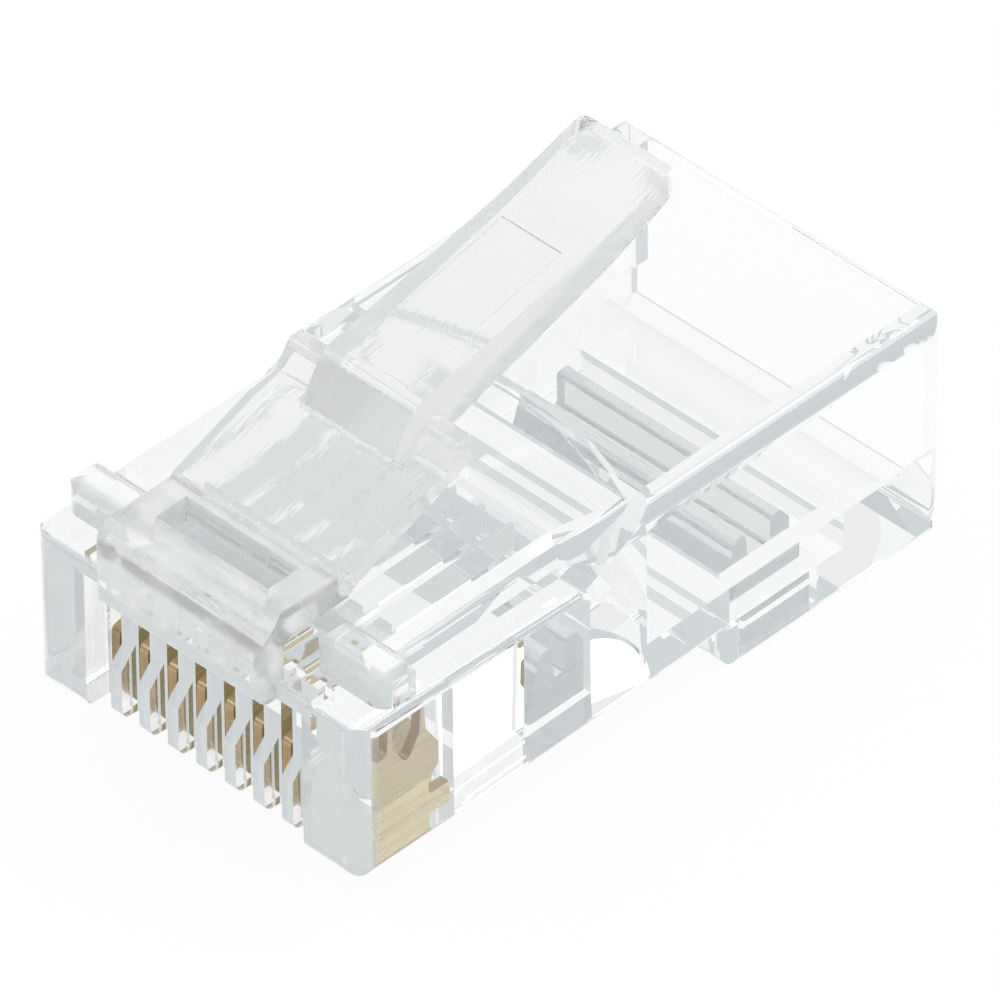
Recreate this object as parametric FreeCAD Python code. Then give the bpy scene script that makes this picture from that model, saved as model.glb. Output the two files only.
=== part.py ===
"""Clear eight-contact modular plug, in millimetres.

X runs across the eight contacts, Y from the mating nose towards the cable end
and Z up through the latch. Shapes are drawn with Y = 0 on the nose face and are
moved at the end, so that the origin lies under the middle of the plug.
"""
import FreeCAD, Part
import math
import os

from FreeCAD import Vector

# Outer form
plug_width = 11.68          # across the jack opening
plug_length = 21.3          # nose face to cable end
rear_height = 7.05          # cable section, floor to roof
nose_rise = 1.34            # nose underside at the shoulder, above the cable section's
nose_fall = 0.16            # how much lower the nose underside is at the contacts
shoulder_y = 13.3           # where the deeper cable section starts
nose_corner = 0.7           # upright corner radius at the nose
rear_corner = 0.6           # upright corner radius at the cable end
shoulder_corner = 0.5       # upright corner radius where the cable section starts
roof_edge = 0.6             # rounding along the roof's long edges
outer_edge = 0.25           # rounding of the other outer edges

# Stepped top of the nose
lip_height = 6.05           # front lip and side ledges
ledge_drop = 0.25           # how far the ledges fall towards the cable
ledge_length = 8.0          # nose face to the foot of the ramps
ramp_length = 2.8           # ramps up to the roof
ledge_width = 0.84          # side wall to the raised deck
deck_flare = 0.2            # how much wider the deck is at the ramps
deck_round = 0.1            # rounding of the long deck edges beyond the flare
deck_drop = 0.1             # deck below the roof
deck_start = 2.25           # nose face to the front of the deck
deck_arc_radius = 10.0      # curved step between deck and roof
deck_arc_y = 11.32          # rearmost point of that step

# Guide blocks on the lip, one each side of the latch root
block_inner = 3.3
block_outer = 5.68
block_front = 1.1
block_height = 1.08         # above the lip
block_round = 0.45
block_groove = 0.2          # groove between block and deck
block_groove_depth = 0.35

# Latch root, a hollow hoop over the lip
root_half_width = 3.0
root_reach = 0.53           # in front of the nose face
root_lap = 0.45             # how far the hoop's foot runs below the lip
root_rise = 2.1             # top of the hoop above the lip
root_wall = 0.8
root_round = 1.2
root_foot_round = 0.2
root_edge = 0.3             # rounding of the hoop's side edges
root_pocket_half_width = 2.0
root_pocket_front = 0.75
root_pocket_rear = 1.85

# Latch hinge line
hinge_y = 2.6
hinge_drop = 0.35           # hinge line below the top of the hoop
hinge_radius = 0.36
hinge_gap = 0.06

# Latch plate with an ear on each side
ear_inner = 1.84
ear_rear = 7.0
ear_rise = 2.2              # above the hinge line
ear_depth = 0.8             # depth of the ear's rear face
ear_land = 0.45             # flat on top of the ear
plate_thickness = 0.55
plate_rise = 0.92           # from the hinge line to the neck
plate_under = 0.1           # underside above the bottom of the hinge's round
plate_heel = 0.1            # underside starts behind the hinge line
plate_bend_lead = 0.3       # the plate levels off ahead of the neck
plate_bend_radius = 1.5
plate_lap = 0.7             # plate's top past the front of the neck
plate_lap_rise = 0.12
plate_lap_round = 0.3
plate_under_lap = 0.45      # plate's underside past the front of the neck
plate_under_lap_rise = 0.15
ear_front_round = 0.25
ear_rear_round = 0.08

# Latch lever
neck_y = 5.3
neck_height = 1.4
neck_run = 1.1              # how far the neck leans back
neck_sink = 0.1             # foot of the neck inside the plate
neck_foot_run = 0.25
neck_foot_rise = 0.15
neck_foot_round = 0.3
neck_top_round = 0.6
neck_heel_run = 0.65        # underside of the neck, where it meets the plate
neck_heel_drop = 0.3
lever_half_width = 1.625
lever_tip_y = 15.95
lever_rise = 2.27           # from the neck to the tip
lever_thickness = 0.75      # at the tip; the lever is deeper towards the neck
lever_root_depth = 1.3      # below the neck's top, where the underside starts
lever_under_y = 13.3        # middle of the underside's curve
lever_under_rise = 0.4      # above the neck's top
lever_under_radius = 12.0
lever_bend = 7.6            # neck to the middle of the lever's long curve
lever_bend_rise = 1.35
lever_bend_radius = 12.0
lever_corner = 0.6          # tip corners in plan
lever_throat = 1.5          # from the neck's top to where the underside starts
lever_throat_radius = 2.0
lever_tip_lean = 0.1        # tip's top edge ahead of the tip
lever_tip_bulge = 0.05      # tip's lower edge past the tip
lever_tip_top_round = 0.35
lever_tip_low_round = 0.3
pad_front = 6.75            # shallow recess along the lever's top
pad_rear = 12.2
pad_half_width = 1.05
pad_depth = 0.05

# Contacts
contact_count = 8
contact_pitch = 1.02
contact_thickness = 0.3
contact_gap = 0.05          # blade to slot, each side
contact_front = 0.76        # blade edge behind the nose face
contact_length = 3.35
contact_proud = 0.35        # uncrimped blade below the nose underside
contact_nose = 1.1          # curved lower front corner of the blade
foot_height = 0.68          # blade below the notch in its rear edge
notch_depth = 0.75
notch_height = 0.55
back_inset = 0.39           # rear edge above the notch
back_height = 2.24          # blade underside to the slope behind the tines
back_slope = 0.3            # rise from the notch to the rear edge above it
tine_shoulder = 2.9         # blade underside to the foot of the tines
tine_valley = 2.2           # blade underside to the gap between the tines
front_shoulder = 2.65       # blade underside to the front top corner
tine_count = 2
tine_pitch = 1.15
tine_inset = 0.94           # rear tine to the rear of the blade
tine_width = 0.12
tine_below_channel = 0.2    # tine tips below the wire channel before crimping
stamp_round = 0.1           # plain corners of the blade
foot_round = 0.05
notch_round = 0.12
tine_valley_round = 0.15
front_top_round = 0.2

# Contact slots and wire channels
rib_thickness = 0.4         # ribs between the contacts
rib_front = 0.25            # rib fronts behind the nose face
rib_height = 1.6            # rib fronts above the nose underside
rib_slope = 0.58            # rise of the sloping rib tops
rib_round = 0.3
web_front = 0.78            # web behind the ribs
slot_end_gap = 0.1
slot_overlap = 0.05         # slot tops inside the wire channels
channel_width = 0.84
channel_floor = 4.7
channel_height = 1.0
channel_front = 1.05
channel_length = 4.4
fin_tip_y = 8.4

# Cable cavity
side_wall = 1.04
roof_thickness = 0.72
floor_thickness = 0.72
bay_floor = 2.2             # cavity floor ahead of the cable clamp
bay_half_width = 4.2        # below that floor
funnel_lead = 0.6           # funnel mouth ahead of the bay's end
funnel_length = 3.4
cavity_arc_y = 11.98
front_wall = 0.7            # wall behind the shoulder
sill_length = 3.1           # threshold at the cable entry
sill_crest = 1.2            # flat part of the threshold
sill_round = 2.0
sill_lip = 0.3              # how far the threshold falls behind the entry
entry_half_width = 5.18     # threshold at the cable entry
entry_step = 0.15           # flared sides above the threshold's crest

# Strain-relief clamps
clamp_half_width = 3.5
clamp_side_gap = 0.12
clamp_end_gap = 0.15
clamp_barrel = 0.25
clamp_lift = 0.05
clamp_bar = 0.4             # width of the two pressing bars
clamp_rake = 0.3            # slope behind the rear bar
clamp_bar_round = 0.15      # tops of the bars
clamp_gap_round = 0.1       # foot of the gap between them, and the leaning edge
cable_clamp_inset = 1.7     # shoulder to clamp axis
cable_clamp_length = 2.3
cable_clamp_height = 2.05
wire_clamp_y = 7.2
wire_clamp_length = 1.85
wire_clamp_height = 2.1

half_width = plug_width / 2
nose_low = nose_rise - nose_fall
slot_rear = contact_front + contact_length + slot_end_gap
ledge_rear_height = lip_height - ledge_drop
ramp_end = ledge_length + ramp_length
deck_height = rear_height - deck_drop
root_bottom = lip_height - root_lap
root_top = lip_height + root_rise
hinge_z = root_top - hinge_drop
sill_y = plug_length - sill_length
cable_clamp_y = shoulder_y + cable_clamp_inset
middle_y = (plug_length - root_reach) / 2
overshoot = 1.0             # how far cutters run past a face


def corner_edges(corners):
    """Edges of a closed outline; each corner is (point, radius)."""
    starts, ends, edges = [], [], []
    count = len(corners)
    for index, (point, radius) in enumerate(corners):
        before = (corners[index - 1][0] - point).normalize()
        after = (corners[(index + 1) % count][0] - point).normalize()
        if radius <= 0:
            starts.append(point)
            ends.append(point)
            continue
        half = before.getAngle(after) / 2
        reach = radius / math.tan(half)
        inward = (before + after).normalize()
        start = point + before * reach
        end = point + after * reach
        middle = point + inward * (radius / math.sin(half) - radius)
        edges.append(Part.Arc(start, middle, end).toShape())
        starts.append(start)
        ends.append(end)
    for index in range(count):
        start = ends[index]
        end = starts[(index + 1) % count]
        if start.distanceToPoint(end) > 1e-6:
            edges.append(Part.LineSegment(start, end).toShape())
    return edges


def outline_face(corners):
    wire = Part.Wire(Part.__sortEdges__(corner_edges(corners)))
    return Part.Face(wire)


def prism_x(outline, x_from, x_to):
    """Side outline of (y, z, radius) corners, extruded across the plug."""
    corners = [(Vector(x_from, y, z), radius) for y, z, radius in outline]
    return outline_face(corners).extrude(Vector(x_to - x_from, 0, 0))


def prism_y(outline, y_from, y_to):
    """Front outline of (x, z, radius) corners, extruded along the plug."""
    corners = [(Vector(x, y_from, z), radius) for x, z, radius in outline]
    return outline_face(corners).extrude(Vector(0, y_to - y_from, 0))


def prism_z(outline, z_from, z_to):
    """Plan outline of (x, y, radius) corners, extruded upwards."""
    corners = [(Vector(x, y, z_from), radius) for x, y, radius in outline]
    return outline_face(corners).extrude(Vector(0, 0, z_to - z_from))


def box(x_from, x_to, y_from, y_to, z_from, z_to):
    size = (x_to - x_from, y_to - y_from, z_to - z_from)
    return Part.makeBox(*size, Vector(x_from, y_from, z_from))


def rod_x(y, z, radius, half_length):
    start = Vector(-half_length, y, z)
    return Part.makeCylinder(radius, 2 * half_length, start, Vector(1, 0, 0))


def upright(x, y, radius, z_from, z_to):
    return Part.makeCylinder(radius, z_to - z_from, Vector(x, y, z_from))


def mirrored(shape):
    return shape.mirror(Vector(0, 0, 0), Vector(1, 0, 0))


def contact_positions():
    middle = (contact_count - 1) / 2
    return [(index - middle) * contact_pitch for index in range(contact_count)]


# ---------------------------------------------------------------- housing

def outer_body():
    """Stepped side outline, rounded in plan and along the roof and floor."""
    side = prism_x([
        (0, nose_low, outer_edge),
        (slot_rear, nose_low, 0),
        (shoulder_y, nose_rise, 0),
        (shoulder_y, 0, outer_edge),
        (plug_length, 0, outer_edge),
        (plug_length, rear_height, outer_edge),
        (ramp_end, rear_height, 0),
        (ledge_length, ledge_rear_height, 0),
        (0, lip_height, outer_edge),
    ], -half_width, half_width)
    plan = prism_z([
        (-half_width, 0, nose_corner),
        (half_width, 0, nose_corner),
        (half_width, plug_length, rear_corner),
        (-half_width, plug_length, rear_corner),
    ], -overshoot, rear_height + overshoot)
    section = prism_y([
        (-half_width, 0, outer_edge),
        (half_width, 0, outer_edge),
        (half_width, rear_height, roof_edge),
        (-half_width, rear_height, roof_edge),
    ], 0, plug_length)
    body = side.common(plan).common(section)
    return body.cut(shoulder_corners()).cut(long_edges())


def long_edges():
    """Waste along the two ledges and under both sides of the nose."""
    runs = [
        (0, lip_height, ledge_length, ledge_rear_height, -1),
        (0, nose_low, slot_rear, nose_low, 1),
        (slot_rear, nose_low, shoulder_y, nose_rise, 1),
    ]
    strips = []
    for y_from, z_from, y_to, z_to, side in runs:
        inner = half_width - outer_edge
        square = [(inner, z_from), (half_width + overshoot, z_from)]
        square += [(half_width + overshoot, z_from + side * outer_edge),
                   (inner, z_from + side * outer_edge)]
        run = Vector(0, y_to - y_from, z_to - z_from)
        strip = outline_face([(Vector(x, y_from, z), 0) for x, z in square]).extrude(run)
        centre = Vector(inner, y_from, z_from + side * outer_edge)
        circle = Part.Wire(Part.makeCircle(outer_edge, centre, Vector(0, 1, 0)))
        strip = strip.cut(Part.Face(circle).extrude(run))
        strips += [strip, mirrored(strip)]
    return strips


def shoulder_corners():
    """Waste outside the two upright corners under the shoulder."""
    inner = half_width - shoulder_corner
    waste = box(inner, half_width + overshoot, shoulder_y - overshoot,
                shoulder_y + shoulder_corner, -overshoot, nose_rise)
    keep = upright(inner, shoulder_y + shoulder_corner, shoulder_corner, -overshoot, nose_rise)
    waste = waste.cut(keep)
    return waste.fuse(mirrored(waste))


def deck():
    """Raised top of the nose, inside the side ledges."""
    narrow = half_width - ledge_width
    wide = narrow + deck_flare
    plan = prism_z([
        (-narrow, deck_start, 0),
        (narrow, deck_start, 0),
        (narrow, ledge_length, 0),
        (wide, ramp_end, 0),
        (-wide, ramp_end, 0),
        (-narrow, ledge_length, 0),
    ], channel_floor, deck_height)
    section = prism_y([
        (-wide, 0, 0),
        (wide, 0, 0),
        (wide, deck_height, deck_flare + deck_round),
        (-wide, deck_height, deck_flare + deck_round),
    ], 0, plug_length)
    return plan.common(section)


def deck_recess():
    """Curved step from the roof down to the deck."""
    wide = half_width - ledge_width + deck_flare
    disc = upright(0, deck_arc_y - deck_arc_radius, deck_arc_radius,
                   deck_height, rear_height + overshoot)
    return disc.common(box(-wide, wide, 0, plug_length, 0, 2 * rear_height))


def guide_block():
    """Block on the lip, rounded all round its top and front, with a groove behind it."""
    top = lip_height + block_height
    size = prism_x([
        (block_front, lip_height - ledge_drop, 0),
        (block_front, top, block_round),
        (deck_start, top, 0),
        (deck_start, lip_height - ledge_drop, 0),
    ], block_inner, block_outer)
    section = prism_y([
        (block_inner, 0, 0),
        (block_outer, 0, 0),
        (block_outer, top, block_round),
        (block_inner, top, block_round / 2),
    ], 0, deck_start)
    plan = prism_z([
        (block_inner, block_front, block_round / 2),
        (block_outer, block_front, block_round),
        (block_outer, deck_start, 0),
        (block_inner, deck_start, 0),
    ], 0, top)
    groove = box(block_inner - overshoot, block_outer + overshoot, deck_start - block_groove,
                 deck_start, top - block_groove_depth, top + overshoot)
    return size.common(section).common(plan).cut(groove)


def latch_root():
    """Hoop over the lip, open on top and at both sides, ending at the hinge line."""
    hoop = prism_x([
        (-root_reach, root_bottom, root_foot_round),
        (-root_reach, root_top, root_round),
        (hinge_y, root_top, 0),
        (hinge_y, root_top - root_wall, 0),
        (root_wall - root_reach, root_top - root_wall, root_round - root_wall),
        (root_wall - root_reach, root_bottom, 0),
    ], -root_half_width, root_half_width)
    plan = prism_z([
        (-root_half_width, -root_reach, root_edge),
        (root_half_width, -root_reach, root_edge),
        (root_half_width, hinge_y, 0),
        (-root_half_width, hinge_y, 0),
    ], root_bottom, root_top)
    section = prism_y([
        (-root_half_width, root_bottom, 0),
        (root_half_width, root_bottom, 0),
        (root_half_width, root_top, root_edge),
        (-root_half_width, root_top, root_edge),
    ], -root_reach, hinge_y)
    hoop = hoop.common(plan).common(section)
    pocket = box(-root_pocket_half_width, root_pocket_half_width,
                 root_pocket_front, root_pocket_rear, lip_height, root_top + overshoot)
    seat = rod_x(hinge_y, hinge_z, hinge_radius + hinge_gap, root_half_width + overshoot)
    return hoop.cut(pocket).cut(seat)


def slot_cutters():
    """Pockets between the ribs, contact slots and wire channels."""
    half_slot = contact_thickness / 2 + contact_gap
    half_pocket = (contact_pitch - rib_thickness) / 2
    cutters = []
    for x in contact_positions():
        cutters.append(box(x - half_pocket, x + half_pocket, -overshoot, web_front,
                           nose_low - overshoot, root_bottom))
        cutters.append(box(x - half_slot, x + half_slot, -overshoot, slot_rear,
                           nose_low - overshoot, channel_floor + slot_overlap))
        cutters.append(box(x - channel_width / 2, x + channel_width / 2, channel_front,
                           channel_front + channel_length,
                           channel_floor, channel_floor + channel_height))
    return cutters


def rib_fronts():
    """Waste in front of the ribs, over their sloping tops and round their feet."""
    half = contact_positions()[-1]
    top = nose_low + rib_height
    brow = prism_x([
        (-overshoot, nose_low - overshoot, 0),
        (rib_front, nose_low - overshoot, 0),
        (rib_front, top, 0),
        (web_front, top + rib_slope, 0),
        (web_front, root_bottom, 0),
        (-overshoot, root_bottom, 0),
    ], -half, half)
    foot = box(-half, half, 0, rib_front + rib_round, nose_low - overshoot, nose_low + rib_round)
    keep = rod_x(rib_front + rib_round, nose_low + rib_round, rib_round, half)
    return [brow, foot.cut(keep)]


def wire_bay():
    """Space behind the channels, with the pointed ends of their walls left in."""
    start = channel_front + channel_length
    half = contact_positions()[-1] + channel_width / 2
    bay = box(-half, half, start, ledge_length + ramp_length / 2,
              channel_floor, channel_floor + channel_height)
    fin_half = (contact_pitch - channel_width) / 2
    fins = []
    for x in contact_positions()[:-1]:
        middle = x + contact_pitch / 2
        fins.append(prism_z([
            (middle - fin_half, start, 0),
            (middle + fin_half, start, 0),
            (middle, fin_tip_y, 0),
        ], channel_floor, channel_floor + channel_height))
    return bay.cut(Part.makeCompound(fins))


def funnel():
    """Tapered throat from the wire bay to the cable cavity."""
    start = ledge_length + ramp_length / 2 - funnel_lead
    half = contact_positions()[-1] + channel_width / 2
    wide = half_width - side_wall
    small = Part.makePolygon([
        Vector(-half, start, channel_floor),
        Vector(half, start, channel_floor),
        Vector(half, start, channel_floor + channel_height),
        Vector(-half, start, channel_floor + channel_height),
        Vector(-half, start, channel_floor),
    ])
    end = start + funnel_length
    large = Part.makePolygon([
        Vector(-wide, end, bay_floor),
        Vector(wide, end, bay_floor),
        Vector(wide, end, channel_floor + channel_height),
        Vector(-wide, end, channel_floor + channel_height),
        Vector(-wide, end, bay_floor),
    ])
    return Part.makeLoft([small, large], True, True)


def cable_cavity():
    """Cavity for the jacket, over the clamp bay and the threshold of the cable entry."""
    roof = rear_height - roof_thickness
    wide = half_width - side_wall
    rear = plug_length + overshoot
    cavity = box(-wide, wide, ledge_length, rear, bay_floor, roof)
    nose_part = upright(0, cavity_arc_y - deck_arc_radius, deck_arc_radius, 0, rear_height)
    cavity = cavity.cut(nose_part)
    bay = box(-bay_half_width, bay_half_width, shoulder_y + front_wall, sill_y,
              floor_thickness, bay_floor)
    return [cavity, bay, cable_entry()]


def cable_entry():
    """Flared threshold that curves down to the cable end."""
    rear = plug_length + overshoot
    side = prism_x([
        (sill_y, bay_floor, 0),
        (sill_y + sill_crest, bay_floor, sill_round),
        (rear, floor_thickness - sill_lip, 0),
        (rear, bay_floor + entry_step, 0),
        (sill_y, bay_floor + entry_step, 0),
    ], -half_width, half_width)
    flare = (entry_half_width - bay_half_width) / sill_length
    rear_half = entry_half_width + flare * overshoot
    plan = prism_z([
        (-bay_half_width, sill_y, 0),
        (bay_half_width, sill_y, 0),
        (rear_half, rear, 0),
        (-rear_half, rear, 0),
    ], 0, rear_height)
    return side.common(plan)


def clamp_window(axis_y, clamp_length, z_from, z_to):
    half = clamp_half_width + clamp_side_gap
    return box(-half, half, axis_y - clamp_barrel - clamp_end_gap,
               axis_y + clamp_length + clamp_end_gap, z_from, z_to)


def housing():
    solid = outer_body().fuse(deck()).cut(deck_recess())
    block = guide_block()
    solid = solid.fuse([block, mirrored(block), latch_root()])
    cable_window = clamp_window(cable_clamp_y, cable_clamp_length, -overshoot, bay_floor)
    wire_window = clamp_window(wire_clamp_y, wire_clamp_length, 0, channel_floor + slot_overlap)
    cutters = slot_cutters() + rib_fronts() + cable_cavity()
    cutters += [wire_bay(), funnel(), cable_window, wire_window]
    return solid.cut(cutters).removeSplitter()


# ---------------------------------------------------------------- latch

def latch_plate():
    """Plate that rises from the hinge line to the neck, with an ear on each side."""
    top = hinge_z + hinge_radius
    crown = top + plate_rise
    under = hinge_z - hinge_radius + plate_under
    ear_top = hinge_z + ear_rise
    arm = [
        (hinge_y, top, 0),
        (neck_y - plate_bend_lead, crown, plate_bend_radius),
        (neck_y + plate_lap, crown + plate_lap_rise, plate_lap_round),
    ]
    base = [
        (neck_y + plate_under_lap, crown - plate_thickness + plate_under_lap_rise, 0),
        (hinge_y + plate_heel, under, 0),
        (hinge_y, hinge_z, 0),
    ]
    tip = [
        (ear_rear - ear_land, ear_top, ear_front_round),
        (ear_rear, ear_top, ear_rear_round),
        (ear_rear, ear_top - ear_depth, 0),
    ]
    ear = prism_x(arm + tip + base, ear_inner, root_half_width)
    middle = prism_x(arm + base, -ear_inner, ear_inner)
    return [ear, mirrored(ear), middle]


def latch_lever_arm():
    """Long curved lever, deeper towards the neck, with a shallow recess on top."""
    crown = hinge_z + hinge_radius + plate_rise
    shoulder = crown + neck_height
    tip = shoulder + lever_rise
    side = prism_x([
        (neck_y, crown - neck_sink, 0),
        (neck_y + neck_foot_run, crown + neck_foot_rise, neck_foot_round),
        (neck_y + neck_run, shoulder, neck_top_round),
        (neck_y + lever_bend, shoulder + lever_bend_rise, lever_bend_radius),
        (lever_tip_y - lever_tip_lean, tip, lever_tip_top_round),
        (lever_tip_y + lever_tip_bulge, tip - lever_thickness, lever_tip_low_round),
        (lever_under_y, shoulder + lever_under_rise, lever_under_radius),
        (neck_y + neck_run + lever_throat, shoulder - lever_root_depth, lever_throat_radius),
        (neck_y + neck_heel_run, crown - neck_heel_drop, 0),
    ], -lever_half_width, lever_half_width)
    plan = prism_z([
        (-lever_half_width, 0, 0),
        (lever_half_width, 0, 0),
        (lever_half_width, lever_tip_y, lever_corner),
        (-lever_half_width, lever_tip_y, lever_corner),
    ], 0, 2 * tip)
    lever = side.common(plan)
    pad = box(-pad_half_width, pad_half_width, pad_front, pad_rear, crown, 2 * tip)
    below = lever.copy()
    below.translate(Vector(0, 0, -pad_depth))
    return lever.cut(pad.cut(below))


def latch():
    barrel = rod_x(hinge_y, hinge_z, hinge_radius, root_half_width)
    solid = barrel.fuse(latch_plate() + [latch_lever_arm()])
    return solid.removeSplitter()


# ---------------------------------------------------------------- clamps

def clamp(axis_y, bottom, clamp_length, height):
    """Bar with a leaning front face, which tips up about the barrel along its front edge."""
    low = bottom + clamp_lift
    axis_z = low + clamp_barrel
    rear = axis_y + clamp_length
    bar = prism_x([
        (axis_y, low, 0),
        (rear, low, 0),
        (rear, low + height - clamp_bar, 0),
        (rear - clamp_rake, low + height, clamp_bar_round),
        (rear - clamp_rake - clamp_bar, low + height, clamp_bar_round),
        (rear - clamp_rake - clamp_bar, low + height / 2, clamp_gap_round),
        (axis_y + 2 * clamp_bar, low + height / 2, clamp_gap_round),
        (axis_y + 1.7 * clamp_bar, low + height, clamp_bar_round),
        (axis_y + 0.8 * clamp_bar, low + height, clamp_gap_round),
        (axis_y - clamp_barrel, axis_z, 0),
        (axis_y, axis_z, 0),
    ], -clamp_half_width, clamp_half_width)
    barrel = rod_x(axis_y, axis_z, clamp_barrel, clamp_half_width)
    return bar.fuse(barrel).removeSplitter()


# ---------------------------------------------------------------- contacts

def contact(x):
    """Stamped blade with a notched rear edge and pointed tines that pierce the wire."""
    low = nose_low - contact_proud
    front = contact_front
    rear = front + contact_length
    tip = channel_floor - tine_below_channel
    foot = low + foot_height
    outline = [
        (front, low, contact_nose),
        (rear, low, stamp_round),
        (rear, foot, foot_round),
        (rear - notch_depth, foot, notch_round),
        (rear - notch_depth, foot + notch_height, stamp_round),
        (rear - back_inset, foot + notch_height + back_slope, stamp_round),
        (rear - back_inset, low + back_height, stamp_round),
    ]
    for tine in range(tine_count):
        middle = rear - tine_inset - tine * tine_pitch
        if tine:
            outline.append((middle + tine_pitch / 2, low + tine_valley, tine_valley_round))
        outline += [
            (middle + tine_width, low + tine_shoulder, stamp_round),
            (middle + tine_width / 2, tip, 0),
            (middle - tine_width / 2, tip, 0),
            (middle - tine_width, low + tine_shoulder, stamp_round),
        ]
    outline.append((front, low + front_shoulder, front_top_round))
    half = contact_thickness / 2
    return prism_x(outline, x - half, x + half)


def export(node, shape):
    placed = shape.copy()
    placed.translate(Vector(0, -middle_y, 0))
    placed.exportStep("parts/" + node + ".step")


def build():
    os.makedirs("parts", exist_ok=True)
    export("plug_housing", housing())
    export("latch_lever", latch())
    export("cable_clamp", clamp(cable_clamp_y, 0, cable_clamp_length, cable_clamp_height))
    export("wire_clamp", clamp(wire_clamp_y, nose_rise, wire_clamp_length, wire_clamp_height))
    for index, x in enumerate(contact_positions()):
        export("contact_" + str(index + 1), contact(x))


build()
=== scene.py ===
"""Clear modular plug on a pale studio floor."""
import math

import bpy
from mathutils import Matrix, Vector

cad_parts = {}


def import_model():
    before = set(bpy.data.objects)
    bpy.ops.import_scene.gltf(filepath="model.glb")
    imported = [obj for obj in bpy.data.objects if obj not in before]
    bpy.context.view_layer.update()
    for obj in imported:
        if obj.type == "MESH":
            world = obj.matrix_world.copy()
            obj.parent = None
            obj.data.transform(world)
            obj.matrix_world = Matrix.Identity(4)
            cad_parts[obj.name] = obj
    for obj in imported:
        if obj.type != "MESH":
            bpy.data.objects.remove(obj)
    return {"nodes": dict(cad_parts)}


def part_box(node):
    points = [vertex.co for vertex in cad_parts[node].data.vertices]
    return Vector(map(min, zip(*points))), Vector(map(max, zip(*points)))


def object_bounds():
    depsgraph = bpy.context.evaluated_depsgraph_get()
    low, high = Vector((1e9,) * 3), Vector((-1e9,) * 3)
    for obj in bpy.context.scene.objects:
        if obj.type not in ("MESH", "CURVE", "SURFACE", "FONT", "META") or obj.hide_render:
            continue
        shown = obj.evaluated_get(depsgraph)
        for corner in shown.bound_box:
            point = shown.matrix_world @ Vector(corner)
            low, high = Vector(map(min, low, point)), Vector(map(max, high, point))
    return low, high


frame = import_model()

MM = 0.001
CAD_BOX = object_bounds()

CLEAR_NODES = ("plug_housing",)
CLAMP_NODES = ("cable_clamp", "wire_clamp")
MATT_NODES = ("latch_lever",)
CONTACT_NODES = sorted(name for name in frame["nodes"] if name.startswith("contact_"))

# Where the haze lies on the body
HINGE_RADIUS = 0.36 * MM
HINGE = Vector(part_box("latch_lever")[0]) + Vector((0, HINGE_RADIUS, HINGE_RADIUS))
LIP_TOP = HINGE.z - 1.7 * MM
NOSE_DEPTH = 1.24 * MM      # from the hoop's front to behind the nose face
NOSE_REAR = CAD_BOX[0][1] + NOSE_DEPTH

# Plastics
INDEX = 1.585
RESIN = (0.99, 0.994, 0.994, 1)
ABSORPTION = (0.84, 0.88, 0.89, 1)
ABSORPTION_DENSITY = 25.0
ROOT_ROUGHNESS = 0.26
ROOT_MILK = 0.5
ROOT_TONE = (0.97, 0.98, 0.96, 1)
MOTTLE_SCALE = 750
NOSE_HAZE = 0.4
# grey-blue painted shade mixed into the clamp bars so that they show inside the body
CLAMP_SHADE_AMOUNT = 0.15
CLAMP_PAINTED_SHADE_TONE = (0.62, 0.68, 0.70, 1)
LATCH_MILK = 0.15
LATCH_TONE = (0.97, 0.97, 0.96, 1)
LATCH_LINES = (9000, 700, 700)      # fine across the lever, long along it
DEEPEST_PATH = 5            # faces that light crosses before the plastic shows a painted glow instead
# tone of the painted glow that ends deep paths in the body and the clamps
PAINTED_GLOW_TONE = (0.64, 0.67, 0.68, 1)
# depth and tone of the painted glow in the latch
LATCH_DEEPEST_PATH = 3
LATCH_PAINTED_GLOW_TONE = (0.84, 0.86, 0.86, 1)

# Blades
DARK_GOLD = (0.54, 0.44, 0.25, 1)
LIGHT_GOLD = (0.65, 0.58, 0.37, 1)
BRONZE = (0.54, 0.38, 0.21, 1)
BLADE_LINES = (900, 500, 12000)     # fine up the blade, long along it
LINE_DEPTH = 0.01 * MM

# Studio
ROOM_TONE = (0.42, 0.465, 0.48, 1)
CEILING_TONE = (0.9, 0.9, 0.89, 1)
CEILING_START = 0.6
WHITE = (1, 1, 1, 1)
FLOOR_SIZE = 1.2
FLOOR_GAP = 0.02 * MM
FLOOR_TONE = (0.95, 0.95, 0.95, 1)
FLOOR_GLOW = 0.94           # how much of the floor shines for what sees it directly
FADE_NEAR = 25 * MM
FADE_FAR = 160 * MM

# Camera: turned and tilted as for a product view from the nose's right
CAMERA_AZIMUTH = math.radians(44.928)
CAMERA_ELEVATION = math.radians(40.242)
CAMERA_ROLL = math.radians(-0.528)
CAMERA_DISTANCE = 460 * MM
CAMERA_AIM = Vector((0, 0.345 * MM, 4.0 * MM))
CAMERA_LENS = 651.4
CAMERA_SHIFT = (0.00685, -0.00594)


# ---------------------------------------------------------------- node helpers

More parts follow.
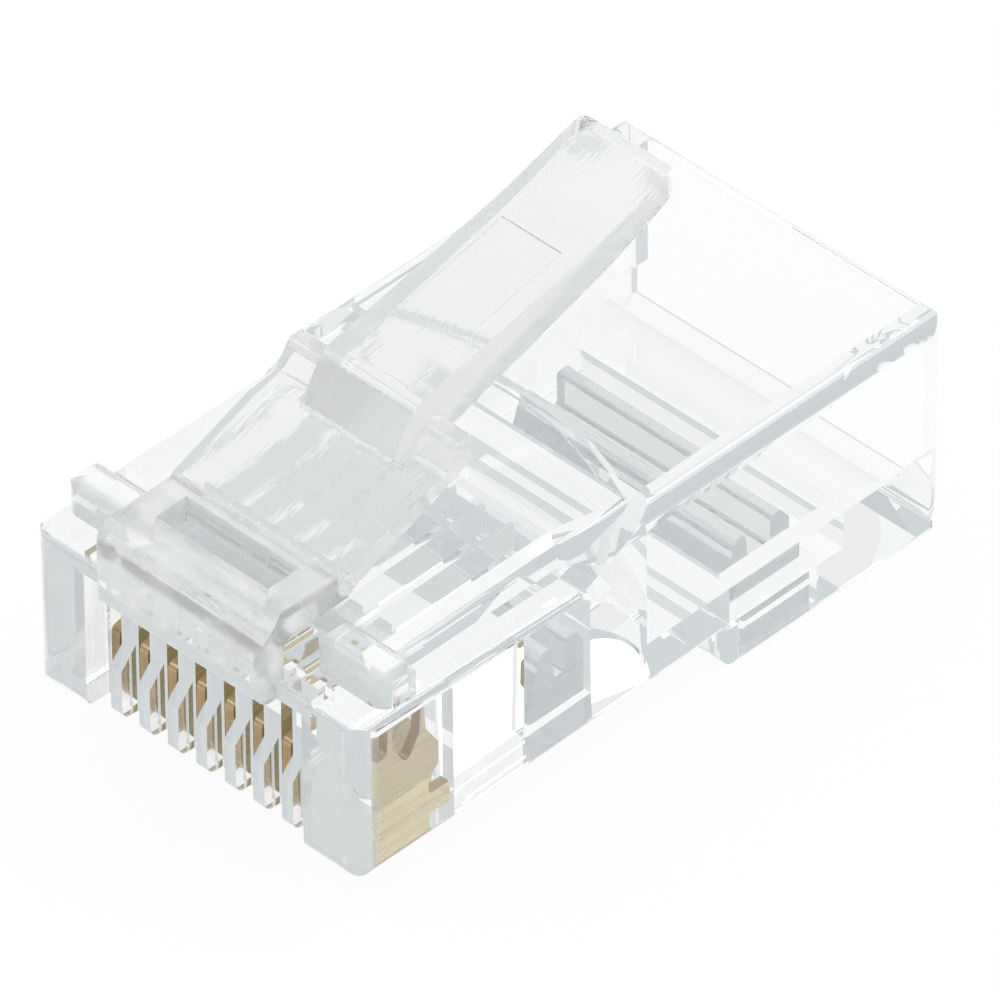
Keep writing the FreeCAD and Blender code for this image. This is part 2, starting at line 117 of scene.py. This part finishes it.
class Nodes:
    """A node tree that is built one node at a time."""

    def __init__(self, tree):
        self.tree = tree
        self.tree.nodes.clear()

    def add(self, kind, **values):
        node = self.tree.nodes.new(kind)
        for name, value in values.items():
            setattr(node, name, value)
        return node

    def link(self, source, target):
        self.tree.links.new(source, target)

    def feed(self, value, target):
        """Link a socket, or set a plain value on the target itself."""
        if hasattr(value, "links"):
            self.link(value, target)
        else:
            target.default_value = value

    def math(self, operation, *values):
        node = self.add("ShaderNodeMath", operation=operation)
        for value, socket in zip(values, node.inputs):
            self.feed(value, socket)
        return node.outputs[0]

    def object_place(self):
        return self.add("ShaderNodeTexCoord").outputs["Object"]

    def parts(self, vector):
        """X, Y and Z of a vector."""
        node = self.add("ShaderNodeSeparateXYZ")
        self.link(vector, node.inputs[0])
        return node.outputs

    def noise(self, scale, detail, coordinates):
        node = self.add("ShaderNodeTexNoise")
        node.inputs["Scale"].default_value = scale
        node.inputs["Detail"].default_value = detail
        self.link(coordinates, node.inputs["Vector"])
        return node.outputs["Fac"]

    def fine_lines(self, scale, detail):
        """Noise stretched into lines by a different scale on each axis."""
        stretch = self.add("ShaderNodeMapping")
        stretch.inputs["Scale"].default_value = scale
        self.link(self.object_place(), stretch.inputs["Vector"])
        return self.noise(1.0, detail, stretch.outputs[0])

    def ramp(self, factor, low, high):
        """Colour ramp between two (position, colour) stops."""
        node = self.add("ShaderNodeValToRGB")
        for stop, (position, tone) in zip(node.color_ramp.elements, (low, high)):
            stop.position = position
            stop.color = tone
        self.link(factor, node.inputs["Fac"])
        return node.outputs[0]

    def mix(self, amount, first, second):
        """Shader blend; an amount of 1 is all of the second."""
        node = self.add("ShaderNodeMixShader")
        self.feed(amount, node.inputs[0])
        self.link(first, node.inputs[1])
        self.link(second, node.inputs[2])
        return node.outputs[0]

    def diffuse(self, tone):
        node = self.add("ShaderNodeBsdfDiffuse")
        node.inputs["Color"].default_value = tone
        return node.outputs[0]

    def glow(self, tone):
        node = self.add("ShaderNodeEmission")
        self.feed(tone, node.inputs["Color"])
        return node.outputs[0]

    def bump(self, height, strength, distance):
        node = self.add("ShaderNodeBump")
        node.inputs["Strength"].default_value = strength
        node.inputs["Distance"].default_value = distance
        self.link(height, node.inputs["Height"])
        return node.outputs["Normal"]


def new_material(name):
    material = bpy.data.materials.new(name)
    material.use_nodes = True
    return material, Nodes(material.node_tree)


# ---------------------------------------------------------------- materials

def painted_glow_deep_paths(nodes, surface, deepest, painted_glow_tone):
    """Paint a glow in the tone of the surroundings on paths that have crossed many faces, ending them
    there.
    """
    path = nodes.add("ShaderNodeLightPath")
    deep = nodes.math("GREATER_THAN", path.outputs["Ray Depth"], deepest)
    # past that depth the plastic shows a painted glow
    return nodes.mix(deep, surface, nodes.glow(painted_glow_tone))


def plastic_shader(nodes, roughness):
    """Clear polycarbonate; the roughness may be a value or a socket."""
    shader = nodes.add("ShaderNodeBsdfPrincipled")
    shader.inputs["Base Color"].default_value = RESIN
    shader.inputs["Transmission Weight"].default_value = 1.0
    shader.inputs["IOR"].default_value = INDEX
    nodes.feed(roughness, shader.inputs["Roughness"])
    return shader


def finish_plastic(nodes, shader, milk_and_shade_amount, milk_and_shade_tone, deepest=DEEPEST_PATH, painted_glow_tone=PAINTED_GLOW_TONE):
    """Mix in a little milkiness, with a grey painted shade on the clamp bars; end deep paths in a
    painted glow and absorb a trace of light in depth.
    """
    # the diffuse mixed in is white milkiness, and on the clamp bars a grey painted shade
    surface = nodes.mix(milk_and_shade_amount, shader.outputs[0], nodes.diffuse(milk_and_shade_tone))
    depth = nodes.add("ShaderNodeVolumeAbsorption")
    depth.inputs["Color"].default_value = ABSORPTION
    depth.inputs["Density"].default_value = ABSORPTION_DENSITY
    output = nodes.add("ShaderNodeOutputMaterial")
    nodes.link(painted_glow_deep_paths(nodes, surface, deepest, painted_glow_tone), output.inputs["Surface"])
    nodes.link(depth.outputs[0], output.inputs["Volume"])


def clear_plastic():
    """Polished body, with patchy haze on the latch root, the guide blocks and the nose face."""
    material, nodes = new_material("clear_plastic")
    place = nodes.object_place()
    axes = nodes.parts(place)
    above = nodes.math("GREATER_THAN", axes["Z"], LIP_TOP)
    ahead = nodes.math("LESS_THAN", axes["Y"], HINGE.y)
    raised = nodes.math("MULTIPLY", above, ahead)
    nose = nodes.math("LESS_THAN", axes["Y"], NOSE_REAR)
    nose = nodes.math("MULTIPLY", nose, NOSE_HAZE)
    patches = nodes.noise(MOTTLE_SCALE, 0.0, place)
    haze = nodes.math("MULTIPLY", nodes.math("MAXIMUM", raised, nose), patches)
    shader = plastic_shader(nodes, nodes.math("MULTIPLY", haze, ROOT_ROUGHNESS))
    finish_plastic(nodes, shader, nodes.math("MULTIPLY", haze, ROOT_MILK), ROOT_TONE)
    return material


def clamp_plastic():
    """Strain-relief bars with a grey-blue painted shade mixed in so that they show inside the body."""
    material, nodes = new_material("clamp_plastic")
    finish_plastic(nodes, plastic_shader(nodes, 0.0), CLAMP_SHADE_AMOUNT, CLAMP_PAINTED_SHADE_TONE)
    return material


def matt_plastic():
    """The same plastic off a matt mould face: milky, with fine lines along the lever."""
    material, nodes = new_material("matt_plastic")
    lines = nodes.fine_lines(LATCH_LINES, 2.0)
    shader = plastic_shader(nodes, nodes.math("MULTIPLY_ADD", lines, 0.12, 0.02))
    nodes.link(nodes.bump(lines, 0.5, LINE_DEPTH), shader.inputs["Normal"])
    finish_plastic(nodes, shader, LATCH_MILK, LATCH_TONE, LATCH_DEEPEST_PATH, LATCH_PAINTED_GLOW_TONE)
    return material


def gold_plate():
    """Gold faces with fine lines along the blade, and bare bronze on the stamped edges."""
    material, nodes = new_material("gold_plate")
    shader = nodes.add("ShaderNodeBsdfPrincipled")
    shader.inputs["Metallic"].default_value = 1.0
    lines = nodes.fine_lines(BLADE_LINES, 4.0)
    across = nodes.parts(nodes.add("ShaderNodeTexCoord").outputs["Normal"])["X"]
    surface = nodes.add("ShaderNodeMix", data_type="RGBA")
    cut_edge = nodes.math("LESS_THAN", nodes.math("ABSOLUTE", across), 0.5)
    nodes.link(cut_edge, surface.inputs["Factor"])
    nodes.link(nodes.ramp(lines, (0.3, DARK_GOLD), (0.75, LIGHT_GOLD)), surface.inputs["A"])
    surface.inputs["B"].default_value = BRONZE
    nodes.link(surface.outputs["Result"], shader.inputs["Base Color"])
    nodes.link(nodes.math("MULTIPLY_ADD", lines, 0.2, 0.2), shader.inputs["Roughness"])
    nodes.link(nodes.bump(lines, 0.1, LINE_DEPTH), shader.inputs["Normal"])
    output = nodes.add("ShaderNodeOutputMaterial")
    nodes.link(shader.outputs[0], output.inputs["Surface"])
    return material


def dress(names, material):
    for name in names:
        part = bpy.data.objects[name]
        part.data.materials.clear()
        part.data.materials.append(material)


# ---------------------------------------------------------------- studio

def seen_directly(nodes):
    """1 for what the camera, a mirror or clear plastic sees, 0 for what lights the scene."""
    path = nodes.add("ShaderNodeLightPath")
    seen = nodes.math("MAXIMUM", path.outputs["Is Camera Ray"], path.outputs["Is Glossy Ray"])
    return nodes.math("MAXIMUM", seen, path.outputs["Is Transmission Ray"])


def floor():
    """White floor; plastic sees it fade to the tone of the room away from the plug."""
    bpy.ops.mesh.primitive_plane_add(size=FLOOR_SIZE, location=(0, 0, CAD_BOX[0][2] - FLOOR_GAP))
    plane = bpy.context.object
    plane.name = "floor"
    material, nodes = new_material("floor")
    distance = nodes.add("ShaderNodeVectorMath", operation="LENGTH")
    nodes.link(nodes.object_place(), distance.inputs[0])
    fade = nodes.add("ShaderNodeMapRange")
    fade.inputs["From Min"].default_value = FADE_NEAR
    fade.inputs["From Max"].default_value = FADE_FAR
    nodes.link(distance.outputs["Value"], fade.inputs["Value"])
    direct = nodes.add("ShaderNodeLightPath").outputs["Is Camera Ray"]
    far = nodes.math("MULTIPLY", fade.outputs[0], nodes.math("SUBTRACT", 1.0, direct))
    shine = nodes.glow(nodes.ramp(far, (0.0, WHITE), (1.0, ROOM_TONE)))
    amount = nodes.math("MULTIPLY", seen_directly(nodes), FLOOR_GLOW)
    output = nodes.add("ShaderNodeOutputMaterial")
    nodes.link(nodes.mix(amount, nodes.diffuse(FLOOR_TONE), shine), output.inputs["Surface"])
    plane.data.materials.append(material)


def world():
    """Bright overhead, cool and darker towards the horizon."""
    surroundings = bpy.data.worlds.new("studio")
    surroundings.use_nodes = True
    nodes = Nodes(surroundings.node_tree)
    height = nodes.parts(nodes.add("ShaderNodeTexCoord").outputs["Generated"])["Z"]
    background = nodes.add("ShaderNodeBackground")
    tone = nodes.ramp(height, (0.0, ROOM_TONE), (CEILING_START, CEILING_TONE))
    nodes.link(tone, background.inputs["Color"])
    output = nodes.add("ShaderNodeOutputWorld")
    nodes.link(background.outputs[0], output.inputs["Surface"])
    bpy.context.scene.world = surroundings


def softbox(name, azimuth, elevation, distance, size, power):
    """A square lamp that faces the plug; azimuth 0 is behind the nose, along -Y."""
    data = bpy.data.lights.new(name, "AREA")
    data.size = size
    data.energy = power
    lamp = bpy.data.objects.new(name, data)
    bpy.context.scene.collection.objects.link(lamp)
    flat = distance * math.cos(elevation)
    lamp.location = (flat * math.sin(azimuth), -flat * math.cos(azimuth), distance * math.sin(elevation))
    lamp.rotation_euler = (-Vector(lamp.location)).to_track_quat("-Z", "Y").to_euler()


def camera():
    forward = Vector((
        -math.sin(CAMERA_AZIMUTH) * math.cos(CAMERA_ELEVATION),
        math.cos(CAMERA_AZIMUTH) * math.cos(CAMERA_ELEVATION),
        -math.sin(CAMERA_ELEVATION),
    ))
    right = Vector((math.cos(CAMERA_AZIMUTH), math.sin(CAMERA_AZIMUTH), 0))
    up = right.cross(forward)
    rolled_right = right * math.cos(CAMERA_ROLL) + up * math.sin(CAMERA_ROLL)
    rolled_up = up * math.cos(CAMERA_ROLL) - right * math.sin(CAMERA_ROLL)
    data = bpy.data.cameras.new("camera")
    data.sensor_width = 36
    data.lens = CAMERA_LENS
    data.shift_x, data.shift_y = CAMERA_SHIFT
    data.clip_start = 0.01
    data.clip_end = 10
    viewer = bpy.data.objects.new("camera", data)
    bpy.context.scene.collection.objects.link(viewer)
    turn = Matrix((rolled_right, rolled_up, -forward)).transposed().to_4x4()
    viewer.matrix_world = Matrix.Translation(CAMERA_AIM - forward * CAMERA_DISTANCE) @ turn
    bpy.context.scene.camera = viewer


camera()
world()
floor()
softbox("key", math.radians(150), math.radians(60), 0.5, 0.25, 0.6)
softbox("fill", math.radians(-60), math.radians(35), 0.5, 0.3, 0.3)
dress(CLEAR_NODES, clear_plastic())
dress(CLAMP_NODES, clamp_plastic())
dress(MATT_NODES, matt_plastic())
dress(CONTACT_NODES, gold_plate())

bpy.context.scene.view_settings.view_transform = "Standard"
cycles = bpy.context.scene.cycles
cycles.max_bounces = 12
cycles.transmission_bounces = 10
cycles.glossy_bounces = 10
